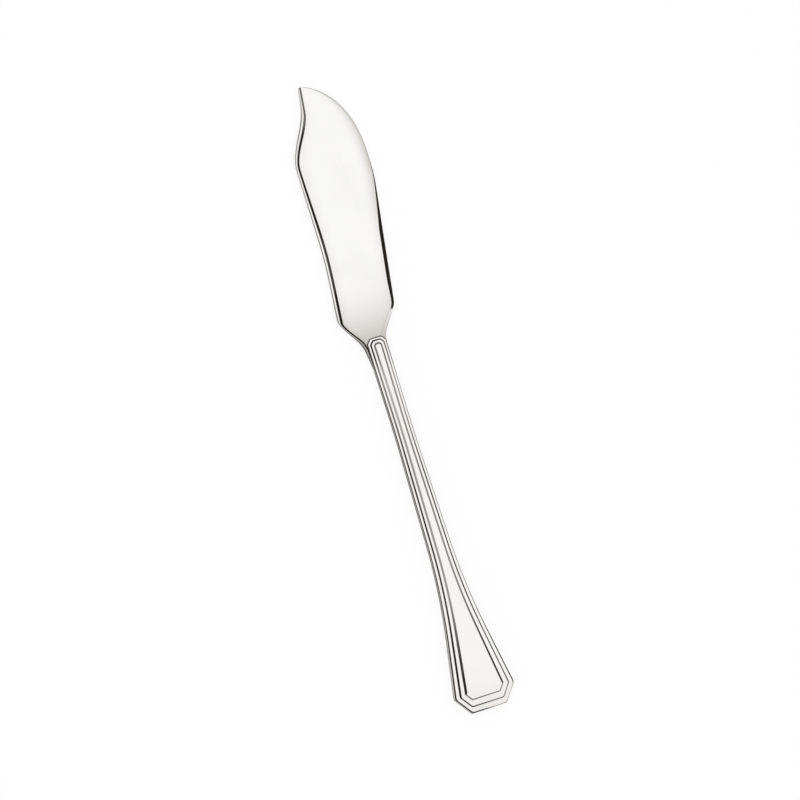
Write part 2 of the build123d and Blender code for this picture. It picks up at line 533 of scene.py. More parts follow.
def middle_line(loop: Loop, first: int, last: int) -> Loop:
    """The line halfway between the two sides of a loop, as one target for each of its points.

    Args:
        loop: A loop whose point n faces the point n from its other end.
        first: The points before this one all run to the line's first end.
        last: The points after this one, counted back from the far end, run to its other end.

    Returns:
        The targets, in the loop's order.
    """
    half = len(loop) // 2
    line = []
    for number in range(len(loop)):
        station = min(number, len(loop) - number)
        station = min(max(station, first), half - last)
        line.append((loop[station] + loop[-station]) / 2)
    return line


class LoopSkin:
    """A mesh drawn out of one circle, loop by loop, in edit mode."""

    def __init__(self, name: str, ring: Ring) -> None:
        """Adds a circle and lays it along the first ring.

        Args:
            name: Name of the piece.
            ring: The first ring.
        """
        bpy.ops.object.select_all(action="DESELECT")
        bpy.ops.mesh.primitive_circle_add(vertices=len(ring.loop), radius=MM)
        self.piece = bpy.context.object
        self.piece.name = name
        self.piece.data.name = name
        self.piece.data.attributes.new(BLACK_AND_SHADE, "FLOAT", "POINT")
        bpy.ops.object.mode_set(mode="EDIT")
        bpy.ops.mesh.select_all(action="SELECT")
        self.first = list(range(len(ring.loop)))
        self.current = self.first
        self._lay(ring)

    def _lay(self, ring: Ring) -> None:
        """Lays the current loop of vertices along a ring.

        Args:
            ring: Their new places and the polishing black and painted shade at each.
        """
        mesh = bmesh.from_edit_mesh(self.piece.data)
        mesh.verts.ensure_lookup_table()
        black_and_shade = mesh.verts.layers.float[BLACK_AND_SHADE]
        for index, point, share in zip(self.current, ring.loop, ring.black_and_shade):
            mesh.verts[index].co = point * MM
            mesh.verts[index][black_and_shade] = share
        bmesh.update_edit_mesh(self.piece.data)

    def draw(self, rings: Sequence[Ring]) -> None:
        """Extrudes the current loop to each ring in turn.

        Args:
            rings: The rings, in order.
        """
        for ring in rings:
            bpy.ops.mesh.extrude_edges_move()
            mesh = bmesh.from_edit_mesh(self.piece.data)
            mesh.verts.index_update()
            places = {index: place for place, index in enumerate(self.current)}
            found = [0] * len(self.current)
            for vertex in mesh.verts:
                if vertex.select:
                    partners = (edge.other_vert(vertex).index for edge in vertex.link_edges)
                    place = next(places[index] for index in partners if index in places)
                    found[place] = vertex.index
            self.current = found
            self._lay(ring)

    def return_to_start(self) -> None:
        """Selects the first loop again, to draw the other way from it."""
        bpy.ops.mesh.select_all(action="DESELECT")
        mesh = bmesh.from_edit_mesh(self.piece.data)
        mesh.verts.ensure_lookup_table()
        for index in self.first:
            mesh.verts[index].select = True
        mesh.select_flush(True)
        bmesh.update_edit_mesh(self.piece.data)
        self.current = self.first

    def close(self) -> bpy.types.Object:
        """Merges what meets, points the faces outwards and leaves edit mode.

        Returns:
            The piece.
        """
        bpy.ops.mesh.select_all(action="SELECT")
        bpy.ops.mesh.remove_doubles(threshold=MERGE * MM)
        bpy.ops.mesh.normals_make_consistent(inside=False)
        bpy.ops.object.mode_set(mode="OBJECT")
        return self.piece


class Cut(Enum):
    """What a tool solid does to a piece."""

    AWAY = "DIFFERENCE"
    ON = "UNION"


def add_box(low: Vector, high: Vector) -> bpy.types.Object:
    """Adds a box between two corners, in millimetres.

    Args:
        low: Lowest corner.
        high: Highest corner.

    Returns:
        The box, with its place in its mesh.
    """
    bpy.ops.object.select_all(action="DESELECT")
    bpy.ops.mesh.primitive_cube_add(size=1, location=(low + high) / 2 * MM, scale=(high - low) * MM)
    bpy.ops.object.transform_apply(location=True, rotation=True, scale=True)
    return bpy.context.object


def combine(piece: bpy.types.Object, tool: bpy.types.Object, cut: Cut) -> None:
    """Cuts a tool solid away from a piece, or joins it on, and deletes the tool.

    Args:
        piece: The piece that changes.
        tool: The solid that is used up.
        cut: Which of the two is done.
    """
    bpy.ops.object.select_all(action="DESELECT")
    bpy.context.view_layer.objects.active = piece
    modifier = piece.modifiers.new("cut", "BOOLEAN")
    modifier.operation = cut.value
    modifier.solver = "EXACT"
    modifier.object = tool
    bpy.ops.object.modifier_apply(modifier=modifier.name)
    bpy.data.objects.remove(tool)


def shade(piece: bpy.types.Object, crease: float = 28.0) -> None:
    """Smooths a piece's shading, with its flats kept flat and its creases sharp.

    Args:
        piece: The piece.
        crease: Degrees of turn from which an edge stays sharp.
    """
    bpy.ops.object.select_all(action="DESELECT")
    bpy.context.view_layer.objects.active = piece
    piece.select_set(True)
    bpy.ops.object.shade_smooth_by_angle(angle=radians(crease))
    modifier = piece.modifiers.new("flats", "WEIGHTED_NORMAL")
    modifier.keep_sharp = True
    bpy.ops.object.modifier_apply(modifier=modifier.name)


def dress(piece: bpy.types.Object, material: bpy.types.Material, node: str) -> None:
    """Gives a new piece its finish and puts it in place of a CAD node.

    Args:
        piece: The new piece.
        material: Its finish.
        node: The node that it stands for.
    """
    piece.data.materials.clear()
    piece.data.materials.append(material)
    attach(piece, "root")
    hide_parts(node)
    log.info("%s: %d faces for %s", piece.name, len(piece.data.polygons), node)


@dataclass
class Heights:
    """Heights above the floor, in millimetres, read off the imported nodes."""

    seam: float
    neck_half: float
    film: float
    lap_x: float
    field: float
    terrace_step: float = 0.32

    @classmethod
    def read(cls) -> "Heights":
        """Reads the heights that the frame holds.

        Returns:
            The heights.
        """
        blade_low, blade_high = (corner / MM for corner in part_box("blade"))
        solder_low, solder_high = (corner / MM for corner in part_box("neck_solder"))
        shell_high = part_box("handle_front_shell")[1] / MM
        return cls(
            seam=(blade_low.z + blade_high.z) / 2,
            neck_half=(blade_high.z - blade_low.z) / 2,
            film=solder_high.z - blade_high.z,
            lap_x=solder_low.x,
            field=shell_high.z,
        )

    @property
    def middle(self) -> float:
        """Height of the middle terrace."""
        return self.field - self.terrace_step

    @property
    def terrace(self) -> float:
        """Height of the first terrace."""
        return self.middle - self.terrace_step


@dataclass(frozen=True)
class Inset:
    """How far a loop of the blade is drawn in from its outline, in six places."""

    edge: float = 0.0
    lap: float = 0.0  # where the neck ends, between the shells
    neck: float = 0.0
    spine: float = 0.0
    tip: float = 0.0
    point: float = 0.0  # the edge's end, at the tip


@dataclass
class Blade:
    """Blade, neck and tang: a sheet with a stepped edge strip, a bevelled spine and a thick neck."""

    heights: Heights
    # The outline, seen from above
    reach: float = 83.3
    lap_half: float = 3.29  # half the width where the neck ends, between the shells
    neck_edge: Point = (0.5, 4.25)
    neck_spine: Point = (2.5, -3.4)
    neck_radius: float = 7.0
    neck_sway: float = 0.18  # the double bend in the neck's side
    heel: Point = (10.3, 9.75)
    heel_fall: float = 4.9  # degrees that the edge draws in by from the heel on
    heel_blend: float = 0.35
    heel_shift: float = 1.1  # how much nearer the handle the step's corner lies
    heel_shift_rise: float = 1.5  # how much sooner than the insets that shift is full
    shoulder: Point = (10.75, -9.23)
    shoulder_blend: float = 0.9
    shoulder_share: float = 0.72  # how wide the spine's bevel is there
    shoulder_run: float = 9.0
    slim: Point = (36.0, 7.91)
    belly: Point = (58.7, 7.99)
    belly_share: float = 0.79  # how wide the edge strip is left there
    tip_start: Point = (77.2, 0.87)
    strip_fade: Pair = (1.7, 0.95)  # how far back and in from there the edge strip runs out
    tip_side: float = 0.2  # how far past the axis the edge ends
    tip_flat: float = 0.9  # the square end between edge and spine
    tip_pull: float = 0.4  # reach of the one that bends it into the tip
    crown: Point = (58.0, -15.17)
    crown_pull: float = 21.2  # reach of the handle that bends the spine's curve from the crown
    knee_run: float = 7.3
    spine_radius: float = 44.0
    spine_fade: Pair = (60.0, 34.0)  # where the spine's bevel has run out, and from where it does
    spine_fade_power: float = 1.5
    # The section
    half_thickness: float = 0.75
    edge_half: float = 0.04
    least_rim: float = 0.02  # from the edge up to the lip
    lip: Inset = Inset(0.28, 0.08, 0.42, 0.05, 0.04, 0.06)
    foot: Inset = Inset(0.80, 0.14, 0.80, 0.10, 0.08, 0.28)
    land: Inset = Inset(1.52, 0.20, 1.28, 1.36, 0.13, 0.80)
    step_drop: float = 0.47
    neck_drop: float = 0.34
    neck_spine_drop: float = 0.12
    spine_slope: float = 0.56
    strip_slope: float = 0.08
    neck_strip_slope: float = 0.1
    turn_run: float = 1.5  # how far either side of the heel and the shoulder the neck's heights give way
    swell_end: float = 15.0  # where the blade's own thickness begins
    swell_start: float = 2.9  # where the neck's thickness begins
    roll_share: float = 0.24  # of the way from the spine to the face's middle
    roll_slope: float = 0.32
    roll_run: Pair = (34.0, 62.0)
    step_radius: float = 0.06
    lip_radius: float = 0.14
    edge_radius: float = 0.02
    # Polishing black in the corners, painted shade and painted reflection, from 0 to 1
    # the step's dark line: polishing black in its corner and a painted reflection of dark surroundings
    step_black_and_shade: tuple[float, ...] = (1.0, 0.88, 1.0, 0.72)  # at heel, slim part, belly and tip
    step_zones: tuple[Pair, ...] = ((16.0, 22.0), (34.0, 42.0), (68.0, 73.0))  # from each to the next
    bevel_zone: Pair = (-1.7, -0.5)  # from the shoulder, where the painted reflection on the spine's bevel sets in
    # the rim is painted darker: painted reflection along the blade, painted shade on the neck's side
    # beside the handle's nose
    rim_shade: Pair = (0.55, 1.0)  # low on the rim: along the blade, then beside the handle's nose
    rim_top_shade: Pair = (0.55, 0.4)
    rim_back_shade: Pair = (0.55, 0.05)
    rim_spine_share: float = 0.4
    rim_shade_share: float = 0.33  # how much of the rim's height counts as low
    rim_shade_blend: float = 0.1
    rim_clear: Pair = (2.0, 9.0)  # where the nose's numbers give way to the blade's
    shade_reach: Pair = (0.4, 0.6)  # of the way to the face's middle that the painted shade reaches, and that at the tip
    shade_run: Pair = (25.0, 55.0)
    painted_shade: Pair = (0.36, 0.22)
    shade_least: float = 0.25
    # The mesh
    lap_run: float = 4.0
    heel_lead: float = 1.9
    shoulder_tail: float = 0.9
    side_steps: tuple[int, ...] = (6, 22, 32, 40)  # along the lap and neck, at the heel, to the crown
    tip_steps: int = 40
    end_steps: int = 3  # across half of the neck's end
    halvings: int = 40  # in the search for a place on the spine's curve
    face_ends: tuple[int, int] = (6, 4)  # points that share an end of the face's middle line
    face_shares: tuple[float, ...] = (0.0, 0.03, 0.07, 0.11, 0.15, 0.19, 0.24, 0.3, 0.4, 0.7, 1.0)
    # The tang
    tang_length: float = 55.0
    tang_overlap: float = 0.5
    tang_half: Pair = (1.3, 0.65)
    tang_end_bevel: float = 0.8
    tang_end_segments: int = 5
    key_hole_radius: float = 0.6
    key_hole_pitch: float = 16.0
    key_hole_places: tuple[int, ...] = (-1, 0, 1)  # in pitches from the tang's middle
    key_hole_sides: int = 24

    def _edge_side(self, x: float, inset: Inset) -> float:
        """The outline on the side of the cutting edge.

        Args:
            x: Place along the blade.
            inset: How far the outline is drawn in.

        Returns:
            Its Y.
        """
        share = inset.edge / self.land.edge
        fall = -tan(radians(self.heel_fall))
        shift = self.heel_shift * clamp(self.heel_shift_rise * share)
        heel = (self.heel[0] - shift, self.heel[1] - inset.edge - fall * shift)
        slim = (self.slim[0], self.slim[1] - inset.edge)
        belly = (self.belly[0], self.belly[1] - inset.edge * self.belly_share)
        tip_start = (
            self.tip_start[0] - share * self.strip_fade[0],
            self.tip_start[1] - share * self.strip_fade[1],
        )
        tip = (self.reach - inset.tip, -self.tip_side - inset.point)
        tip_slope = (tip[1] - tip_start[1]) / (tip[0] - tip_start[0])
        if x >= tip_start[0]:
            return tip[1] + (x - tip[0]) * tip_slope
        if x >= belly[0]:
            return cubic(x, belly, 0.0, tip_start, tip_slope)
        if x >= slim[0]:
            return cubic(x, slim, 0.0, belly, 0.0)
        lap = (self.heights.lap_x, self.lap_half - inset.lap)
        neck = (self.neck_edge[0], self.neck_edge[1] - inset.neck)
        along = clamp((x - neck[0]) / (heel[0] - neck[0]))
        neck_side = bent_line(x, lap, neck, heel, self.neck_radius)
        neck_side -= self.neck_sway * sin(2 * pi * along)
        edge = cubic(x, heel, fall, slim, 0.0) if x > heel[0] else heel[1] + fall * (x - heel[0])
        return soft_min(neck_side, edge, self.heel_blend)

    def _spine_side(self, x: float, inset: Inset) -> float:
        """The outline on the side of the spine.

        Args:
            x: Place along the blade.
            inset: How far the outline is drawn in.

        Returns:
            Its Y.
        """
        crown = (self.crown[0], self.crown[1] + inset.tip)
        shoulder_x = self.shoulder[0]
        shoulder_y = self.shoulder[1] + inset.tip
        bevel = inset.spine - inset.tip
        shoulder_bevel = bevel * self.shoulder_share
        widening = between(shoulder_bevel, bevel, ramp_up(shoulder_x, shoulder_x + self.shoulder_run, x))
        fade = (self.spine_fade[0] - x) / (self.spine_fade[0] - self.spine_fade[1])
        widening *= clamp(fade) ** self.spine_fade_power
        if x >= crown[0]:
            return widening + self._crown_curve(x, crown, self.reach - inset.tip)
        knee = (crown[0] - self.knee_run, crown[1])
        spine = widening + bent_line(x, (shoulder_x, shoulder_y), knee, crown, self.spine_radius)
        shoulder = (shoulder_x, shoulder_y + shoulder_bevel)
        lap = (self.heights.lap_x, inset.lap - self.lap_half)
        neck = (self.neck_spine[0], self.neck_spine[1] + inset.neck)
        neck_side = bent_line(x, lap, neck, shoulder, self.neck_radius)
        return -soft_min(-neck_side, -spine, self.shoulder_blend)

    def _crown_curve(self, x: float, crown: Point, tip_x: float) -> float:
        """Y of the spine's curve from the crown to the tip.

        Args:
            x: Where it is wanted.
            crown: The curve's start.
            tip_x: Where it ends, square to the axis.

        Returns:
            The curve's Y, found by halving the range of its parameter.
        """
        across = (crown[0], crown[0] + self.crown_pull, tip_x, tip_x)
        end = -self.tip_side - self.tip_flat
        side = (crown[1], crown[1], end - self.tip_pull, end)
        low = 0.0
        high = 1.0
        for _ in range(self.halvings):
            share = (low + high) / 2
            if curve_at(across, share) < x:
                low = share
            else:
                high = share
        return curve_at(side, (low + high) / 2)

    def _stations(self) -> list[float]:
        """Places of the points along each side, closer together where the outline bends.

        Returns:
            Their X, from the lap to the tip.
        """
        lap_x = self.heights.lap_x
        crown_x = self.crown[0]
        heel_x = self.heel[0] - self.heel_lead
        shoulder_x = self.shoulder[0] + self.shoulder_tail
        marks = (lap_x, lap_x + self.lap_run, heel_x, shoulder_x, crown_x)
        stations = []
        for start, end, steps in zip(marks, marks[1:], self.side_steps):
            stations += spread(start, end, steps)
        quarter = spread(0, pi / 2, self.tip_steps)
        tip = [crown_x + (self.reach - crown_x) * sin(angle) for angle in quarter]
        return stations + tip + [self.reach]

    def _outline(self, inset: Inset) -> list[Point]:
        """The closed outline, drawn in by an inset.

        Args:
            inset: How far it is drawn in.

        Returns:
            Points from the middle of the neck's end, along the edge to the tip and back along the spine.
        """
        crown_x = self.crown[0]
        pull = (self.reach - inset.tip - crown_x) / (self.reach - crown_x)
        edge = []
        spine = []
        for x in self._stations():
            x = x if x < crown_x else crown_x + (x - crown_x) * pull
            edge.append((x, self._edge_side(x, inset)))
            spine.append((x, self._spine_side(x, inset)))
        lap_x = self.heights.lap_x
        end = [(lap_x, y) for y in spread(0.0, edge[0][1], self.end_steps)]
        end_back = [(lap_x, y) for y in spread(spine[0][1], 0.0, self.end_steps)[1:]]
        tip = [(edge[-1][0], (edge[-1][1] + spine[-1][1]) / 2)]
        return end + edge + tip + spine[::-1] + end_back

    def _on_spine(self) -> list[bool]:
        """Whether each point of an outline lies past the tip, along the spine."""
        count = len(self._outline(self.land))
        return [number > count // 2 for number in range(count)]

    def _face(self, x: float) -> float:
        """Height of the face above the seam: the neck swells towards the handle."""
        share = clamp((self.swell_end - x) / (self.swell_end - self.swell_start))
        return self.half_thickness + (self.heights.neck_half - self.half_thickness) * share * share

    def _roll(self, x: float, width: float, share: float) -> float:
        """How far the face has rolled off towards the spine.

        Args:
            x: Place along the blade.
            width: From the rim to the middle of the face.
            share: Place across that width.

        Returns:
            The drop below the flat face.
        """
        left = max(1 - share / self.roll_share, 0.0)
        slope = self.roll_slope * ramp_up(*self.roll_run, x)
        return slope * width * self.roll_share / 2 * left * left

    def _face_loops(self) -> list[Loop]:
        """Loops of the front face.

        Returns:
            The loops, from the face's rim to its middle line.
        """
        land = [Vector((x, y, 0.0)) for x, y in self._outline(self.land)]
        line = middle_line(land, *self.face_ends)
        sides = self._on_spine()
        loops = []
        for share in self.face_shares:
            loop = []
            for rim, middle, on_spine in zip(land, line, sides):
                point = rim.lerp(middle, share)
                point.z = self.heights.seam + self._face(point.x)
                if on_spine:
                    point.z -= self._roll(point.x, (middle - rim).length, share)
                loop.append(point)
            loops.append(loop)
        return loops

    def _rim_loops(self, land: Loop) -> tuple[Loop, Loop, Loop]:
        """Loops outside the front face.

        Args:
            land: The face's rim.

        Returns:
            The blade's edge, the lip above it and the foot of the step.
        """
        edge_z = self.heights.seam + self.edge_half
        edge = [Vector((x, y, edge_z)) for x, y in self._outline(Inset())]
        lip = []
        foot = []
        plans = zip(self._outline(self.lip), self._outline(self.foot), land, self._on_spine())
        for rim, low, inner, on_spine in plans:
            across = (Vector(low) - inner.xy).length
            if on_spine:
                turn_x = self.shoulder[0]
                full = across * self.spine_slope
                neck_drop = self.neck_spine_drop
            else:
                turn_x = self.heel[0]
                full = self.step_drop * min(across / (self.land.edge - self.foot.edge), 1.0)
                neck_drop = self.neck_drop
            neck_drop *= ramp_up(self.heights.lap_x, self.neck_edge[0], low[0])
            far = ramp_up(turn_x - self.turn_run, turn_x + self.turn_run, low[0])
            foot_z = inner.z - between(neck_drop, full, far)
            foot.append(Vector((*low, foot_z)))
            slope = between(self.neck_strip_slope, self.strip_slope, far)
            lip_z = foot_z - (Vector(low) - Vector(rim)).length * slope
            lip.append(Vector((*rim, max(lip_z, edge_z + self.least_rim))))
        return edge, lip, foot

    def _step_dark(self) -> list[float]:
        """Polishing black and painted reflection on the step along the edge, and painted reflection on the
        spine's bevel.

        Returns:
            How dark each point is painted.
        """
        bevel_start, bevel_full = (self.shoulder[0] + run for run in self.bevel_zone)
        shares = []
        for (x, _), on_spine in zip(self._outline(self.land), self._on_spine()):
            share = self.step_black_and_shade[0]
            for zone, black in zip(self.step_zones, self.step_black_and_shade[1:]):
                share = between(share, black, ramp_up(*zone, x))
            shares.append(ramp_up(bevel_start, bevel_full, x) if on_spine else share)
        return shares

    def _rim_dark(self, black: Pair) -> list[float]:
        """Painted shade and painted reflection on the rim.

        Args:
            black: How much there is along the blade and beside the handle's nose.

        Returns:
            How dark each point is painted, less along the spine.
        """
        blade, nose = black
        shares = []
        for (x, _), on_spine in zip(self._outline(self.lip), self._on_spine()):
            share = between(nose, blade, ramp_up(*self.rim_clear, x))
            if on_spine:
                share *= between(1.0, self.rim_spine_share, ramp_up(*self.shade_run, x))
            shares.append(share)
        return shares

    def _face_shade(self, share: float) -> list[float]:
        """Painted shade on the face towards its rim, most of all towards the spine.

        Args:
            share: Place across the face, from its rim to its middle.

        Returns:
            The painted shade at each point.
        """
        shares = []
        for (x, _), on_spine in zip(self._outline(self.land), self._on_spine()):
            ahead = ramp_up(self.shade_run[1], self.reach, x)
            left = max(1 - share / between(*self.shade_reach, ahead), 0.0)
            near = ramp_up(*self.shade_run, x) if on_spine else 0.0
            painted_shade = between(*self.painted_shade, ahead) * between(self.shade_least, 1.0, near)
            shares.append(painted_shade * left * left)
        return shares

    def _mirrored(self, loop: Loop) -> Loop:
        """The same loop on the back face."""
        return [Vector((point.x, point.y, 2 * self.heights.seam - point.z)) for point in loop]

    def build(self) -> bpy.types.Object:
        """Models the blade.

        Returns:
            The piece.
        """
        land, *face = self._face_loops()
        edge, lip, foot = self._rim_loops(land)
        wall = [low.lerp(high, self.rim_shade_share) for low, high in zip(edge, lip)]
        # painted shade on the face, and polishing black with painted reflection and shade on the step and
        # rim
        painted_shade = [self._face_shade(share) for share in self.face_shares[1:]]
        step = self._step_dark()
        rim = self._rim_dark(self.rim_shade)
        rim_top = self._rim_dark(self.rim_top_shade)
        rim_back = self._rim_dark(self.rim_back_shade)
        front = [face[0], land, foot, lip, wall, edge]
        loops = front + [self._mirrored(loop) for loop in reversed(front)]
        turns = [0.0, self.step_radius, self.step_radius, self.lip_radius, self.rim_shade_blend]
        radii = turns + [self.edge_radius, self.edge_radius] + turns[::-1]
        black = [painted_shade[0], step, 0.0, rim_top, rim, rim, rim, rim_back, 0.0, step, painted_shade[0], 0.0]
        section = rounded([Corner(*turn) for turn in zip(loops, radii, black)])
        skin = LoopSkin("blade_body", section[0])
        skin.draw(section[1:])
        skin.draw([Ring(self._mirrored(loop), shade_share) for loop, shade_share in zip(face[1:], painted_shade[1:])])
        skin.return_to_start()
        skin.draw([Ring(loop, shade_share) for loop, shade_share in zip(face[1:], painted_shade[1:])])
        blade = skin.close()
        self._add_tang(blade)
        shade(blade)
        return blade

    def _add_tang(self, blade: bpy.types.Object) -> None:
        """Joins the tang on behind the neck, with the holes that key it into the cement.

        Args:
            blade: The blade, which ends at the lap.
        """
        lap_x = self.heights.lap_x
        half_width, half_depth = self.tang_half
        seam = self.heights.seam
        tang = add_box(
            Vector((lap_x - self.tang_length, -half_width, seam - half_depth)),
            Vector((lap_x + self.tang_overlap, half_width, seam + half_depth)),
        )
        bpy.ops.object.mode_set(mode="EDIT")
        bpy.ops.mesh.select_all(action="DESELECT")
        mesh = bmesh.from_edit_mesh(tang.data)
        end_x = (lap_x - self.tang_length) * MM
        for edge in mesh.edges:
            ends = [vertex.co for vertex in edge.verts]
            upright = abs(ends[0].z - ends[1].z) > half_depth * MM
            edge.select = upright and all(abs(end.x - end_x) < NEAR * MM for end in ends)
        bmesh.update_edit_mesh(tang.data)
        bpy.ops.mesh.bevel(
            offset=self.tang_end_bevel * MM, segments=self.tang_end_segments, affect="EDGES"
        )
        bpy.ops.object.mode_set(mode="OBJECT")
        middle_x = lap_x - self.tang_length / 2
        twice_depth = 4 * half_depth
        for number in self.key_hole_places:
            bpy.ops.object.select_all(action="DESELECT")
            place = Vector((middle_x + number * self.key_hole_pitch, 0.0, seam))
            bpy.ops.mesh.primitive_cylinder_add(
                vertices=self.key_hole_sides,
                radius=self.key_hole_radius * MM,
                depth=twice_depth * MM,
                location=place * MM,
            )
            bpy.ops.object.transform_apply(location=True, rotation=True, scale=True)
            combine(tang, bpy.context.object, Cut.AWAY)
        combine(blade, tang, Cut.ON)


@dataclass(frozen=True)
class Along:
    """A number that changes along the handle: at its front, nose, middle, flare and butt."""

    edge_side: tuple[float, float, float, float, float]
    spine_side: tuple[float, float, float, float, float]


@dataclass
class Handle:
    """The handle's two shells: a front struck with two terraces round a field, and a plain back tray."""

    heights: Heights
    # The outline, seen from above; a pair gives the outer edge's number and the field's
    length: float = 118.0
    nose_length: float = 2.9
    nose_width: Pair = (6.7, 2.9)
    nose_setback: float = 1.8
    nose_cut: Pair = (1.6, 0.8)
    nose_cut_angle: float = 42.0
    nose_radius: float = 0.6
    waist_x: float = -28.0
    waist_width: Pair = (6.3, 2.45)
    waist_radius: float = 600.0
    flare_x: float = -79.0
    flare_width: Pair = (8.4, 4.0)
    flare_radius: float = 200.0
    butt_width: Pair = (19.9, 13.0)
    butt_setback: float = 4.1
    butt_cut: Pair = (5.7, 2.4)
    butt_cut_angle: float = 36.0
    butt_radius: Pair = (1.6, 0.6)
    # The section
    middle_share: float = 0.5
    sheet: float = 0.7
    side_lean: float = 0.2
    back_break: float = 0.35
    crest_drop: float = 0.16
    crest_run: Along = Along((0.26, 0.22, 0.22, 0.48, 0.38), (0.30, 0.22, 0.22, 0.42, 0.26))
    riser_run: Along = Along((0.50, 0.50, 0.50, 0.66, 0.40), (0.46, 0.46, 0.46, 0.46, 0.34))
    field_shift: float = 0.1
    field_run: Along = Along((0.55, 0.62, 0.62, 0.86, 0.42), (0.55, 0.62, 0.62, 0.62, 0.38))
    field_crown: float = 0.09
    rim_radius: float = 0.04
    crest_radius: float = 0.08
    riser_radius: float = 0.06
    field_radius: float = 0.07
    break_radius: float = 0.15
    # Where one place's numbers give way to the next, behind the datum and off the middle
    nose_zone: Pair = (2.0, 9.0)
    middle_zone: Pair = (10.0, 45.0)
    flare_zone: Pair = (78.0, 104.0)
    butt_zone: Pair = (111.5, 113.5)
    side_blend: float = 2.8
    # Polishing black in the seam and the terraces' corners, painted shade and painted reflection on walls
    # and crest, from 0 to 1
    seam_line: float = 0.45  # how far from the seam its dark line, a dark joint and painted shade, stays on the walls
    seam_blend: float = 0.1
    seam_black_and_shade: Along = Along((1.0, 1.0, 1.0, 1.0, 0.9), (1.0, 1.0, 1.0, 1.0, 0.35))
    # walls and crest painted darker: painted reflection of the knife's shadow on the floor and of the
    # room's dim walls
    wall_shade: Along = Along((0.78, 0.78, 0.74, 0.45, 0.5), (0.78, 0.78, 0.74, 0.45, 0.25))
    back_wall_shade: Along = Along((0.35, 0.35, 0.35, 0.35, 0.35), (0.35, 0.35, 0.35, 0.35, 0.35))
    crest_shade: Along = Along((1.0, 1.0, 1.0, 1.0, 1.0), (1.0, 0.8, 0.8, 1.0, 0.3))
    # risers and the field's edge: polishing black in their corners and painted reflection
    riser_black_and_shade: Along = Along((0.9, 0.55, 0.9, 0.95, 0.8), (0.75, 0.35, 0.9, 0.78, 0.75))
    field_black_and_shade: Along = Along((0.65, 0.22, 0.48, 0.92, 0.6), (0.75, 0.6, 0.66, 0.95, 0.55))
    # The mesh
    side_steps: tuple[int, ...] = (4, 4, 14, 16, 14, 8, 8)  # along each straight run, from the nose
    arc_steps: int = 10
    arc_share: float = 0.45  # the most of a straight run that one arc takes up
    fill_ends: tuple[int, int] = (20, 20)  # points that share an end of a filled loop's middle line
    fill_shares: tuple[float, ...] = (0.08, 0.2, 0.4, 0.65, 1.0)

    def _outline(self, share: float, inset: float) -> list[Point]:
        """The handle's outline.

        Args:
            share: OUTER, FIELD or a number between them.
            inset: How far it is drawn in from there.

        Returns:
            Points from the middle of the nose to the butt along +Y, and back along -Y.
        """
        front_x = self.nose_length - share * self.nose_setback - inset
        butt_x = share * self.butt_setback + inset - self.length
        halves = [
            between(*width, share) / 2 - inset
            for width in (self.nose_width, self.waist_width, self.flare_width, self.butt_width)
        ]
        nose_half, waist_half, flare_half, butt_half = halves
        nose_angle = radians(self.nose_cut_angle)
        butt_angle = radians(self.butt_cut_angle)
        nose_run = between(*self.nose_cut, share) - inset * (1 - tan(nose_angle / 2))
        butt_run = between(*self.butt_cut, share) - inset * (1 - tan(butt_angle / 2))
        butt_radius = between(*self.butt_radius, share)
        corners = [
            ((front_x, 0.0), 0.0),
            ((front_x, nose_half - nose_run * tan(nose_angle)), self.nose_radius),
            ((front_x - nose_run, nose_half), self.nose_radius),
            ((self.waist_x, waist_half), self.waist_radius),
            ((self.flare_x, flare_half), self.flare_radius),
            ((butt_x + butt_run, butt_half), butt_radius),
            ((butt_x, butt_half - butt_run * tan(butt_angle)), butt_radius),
            ((butt_x, 0.0), 0.0),
        ]
        side = self._rounded_path(corners)
        return side + [(x, -y) for x, y in side[-2:0:-1]]

    def _rounded_path(self, corners: Sequence[tuple[Point, float]]) -> list[Point]:
        """Points along a path with rounded corners.

        Args:
            corners: Each corner and its radius.

        Returns:
            The points, as many for any path with as many corners.
        """
        places = [Vector(corner) for corner, _ in corners]
        shares = [step / self.arc_steps for step in range(self.arc_steps + 1)]
        arcs = [[places[0]]]
        for before, (_, radius), here, after in zip(places, corners[1:], places[1:], places[2:]):
            back = before - here
            on = after - here
            half_turn = (pi - back.angle(on)) / 2
            reach = min(radius * tan(half_turn), self.arc_share * min(back.length, on.length))
            start = here + back.normalized() * reach
            end = here + on.normalized() * reach
            arcs.append([start.lerp(here, t).lerp(here.lerp(end, t), t) for t in shares])
        arcs.append([places[-1]])
        path = []
        for arc, next_arc, steps in zip(arcs, arcs[1:], self.side_steps):
            path += arc[:-1]
            path += [arc[-1].lerp(next_arc[0], t) for t in spread(0.0, 1.0, steps)]
        path.append(places[-1])
        return [(point.x, point.y) for point in path]

    def _loop(self, share: float, inset: float, z: float) -> Loop:
        """A loop of the handle at one height."""
        return [Vector((x, y, z)) for x, y in self._outline(share, inset)]

    def _along(self, along: Along) -> list[float]:
        """A number that changes along the handle.

        Args:
            along: The number at each place.

        Returns:
            The number at each point of a loop.
        """
        numbers = []
        for x, y in self._outline(OUTER, 0.0):
            side = ramp_up(-self.side_blend, self.side_blend, y)
            pairs = zip(along.spine_side, along.edge_side)
            front, nose, middle, flare, butt = (between(spine, edge, side) for spine, edge in pairs)
            number = between(front, nose, ramp_up(*self.nose_zone, -x))
            number = between(number, middle, ramp_up(*self.middle_zone, -x))
            number = between(number, flare, ramp_up(*self.flare_zone, -x))
            numbers.append(between(number, butt, ramp_up(*self.butt_zone, -x)))
        return numbers

